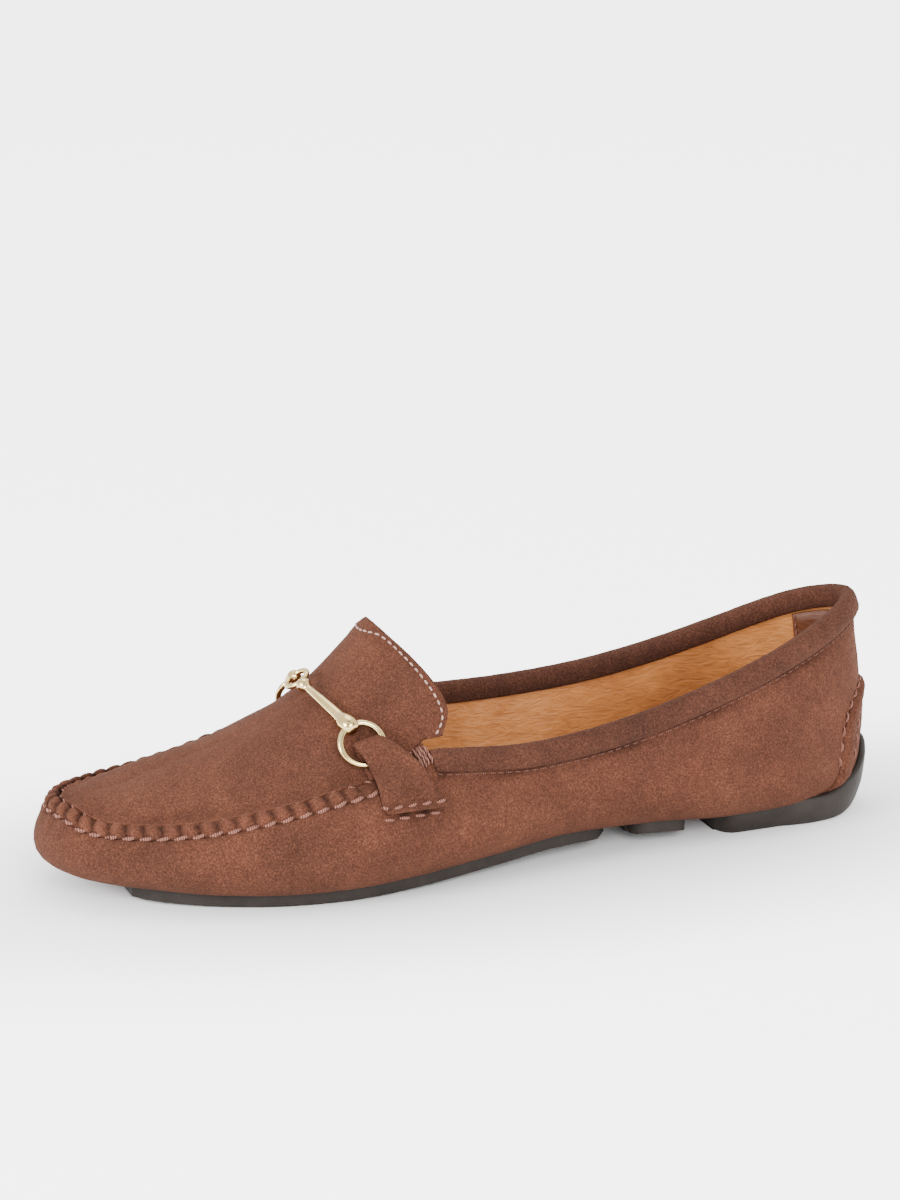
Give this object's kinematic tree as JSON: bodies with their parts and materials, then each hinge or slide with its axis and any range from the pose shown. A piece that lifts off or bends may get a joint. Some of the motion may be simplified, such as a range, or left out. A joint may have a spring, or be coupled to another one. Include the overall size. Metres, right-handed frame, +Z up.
{
  "type": "bit loafer",
  "caption": "Left suede bit loafer: raised apron seam, tongue, bound collar, metal snaffle on two straps, counter patch and rubber pads under the sole.",
  "frame": {"origin": "bottom centre of the bounding box, on the floor the shoe stands on", "axes": "+X from heel to toe, +Y to the outer (lateral) side of this left shoe, +Z up"},
  "size_m": [0.2544, 0.0876, 0.0702],
  "materials": {
    "suede": "napped suede, warm mid brown",
    "metal": "polished pale gold",
    "lining": "smooth tan leather",
    "rubber": "matt dark taupe"
  },
  "bodies": {
    "root": {"upper": "suede", "collar_binding": "suede", "heel_patch": "suede", "strap_lateral": "suede", "strap_medial": "suede", "ring_lateral": "metal", "ring_medial": "metal", "bar_lateral": "metal", "bar_medial": "metal", "bit_link": "metal", "insole": "lining", "forefoot_pad": "rubber", "mid_pad": "rubber", "heel_pad": "rubber"}
  },
  "joints": []
}
